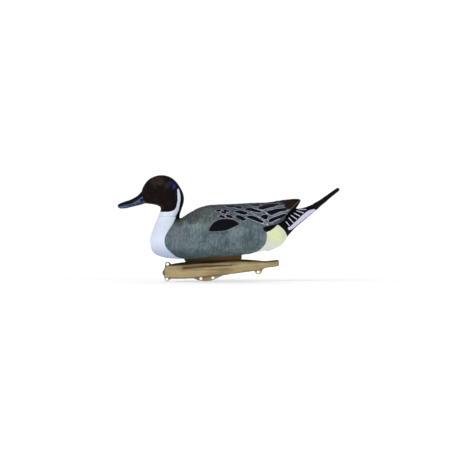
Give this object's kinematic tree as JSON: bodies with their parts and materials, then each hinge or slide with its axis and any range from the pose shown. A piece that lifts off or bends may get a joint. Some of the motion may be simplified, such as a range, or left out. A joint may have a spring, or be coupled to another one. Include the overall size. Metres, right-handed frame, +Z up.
{
  "type": "floating duck decoy",
  "caption": "Floating pintail drake decoy: hollow body on a ballasted keel, turning head, soft pull-out tail feathers and line eyes.",
  "frame": {"origin": "on the waterline, on the centre plane under the middle of the back", "axes": "+Z up, +X from the bill towards the tail, +Y to the duck's right side (the picture shows its left side, at -Y)"},
  "size_m": [0.4535, 0.151, 0.2175],
  "materials": {
    "body_paint": "matt painted polyethylene: grey flanks, white breast, black feathers",
    "head_paint": "matt painted, dark brown head, blue-grey and black bill",
    "tail_black": "matt black soft insert",
    "keel_plastic": "tan moulded plastic, dusted with dark brown on top",
    "seal_rubber": "black rubber",
    "eye_gloss": "glossy dark brown",
    "nylon": "natural nylon",
    "screw_steel": "zinc plated",
    "sand": "dry sand"
  },
  "bodies": {
    "hull": {"body_shell": "body_paint", "body_vent_plug": "seal_rubber", "keel_shell": "keel_plastic", "keel_ballast": "sand", "keel_fill_plug": "seal_rubber", "front_keel_screw": "screw_steel", "rear_keel_screw": "screw_steel", "front_screw_washer": "seal_rubber", "rear_screw_washer": "seal_rubber"},
    "head": {"head_shell": "head_paint", "neck_snap_ring": "nylon", "neck_gasket": "seal_rubber", "left_eye": "eye_gloss", "right_eye": "eye_gloss"},
    "tail": {"tail_sprig": "tail_black"}
  },
  "joints": [
    {"name": "head_turn", "type": "hinge", "parent": "hull", "child": "head", "pos_m": [-0.0945, 0, 0.0645], "axis": [0, 0, 1], "range_deg": [-90, 90]},
    {"name": "tail_sprig_pull", "type": "slide", "parent": "hull", "child": "tail", "axis": [0.866, 0, 0.5], "range_m": [0, 0.02]}
  ]
}
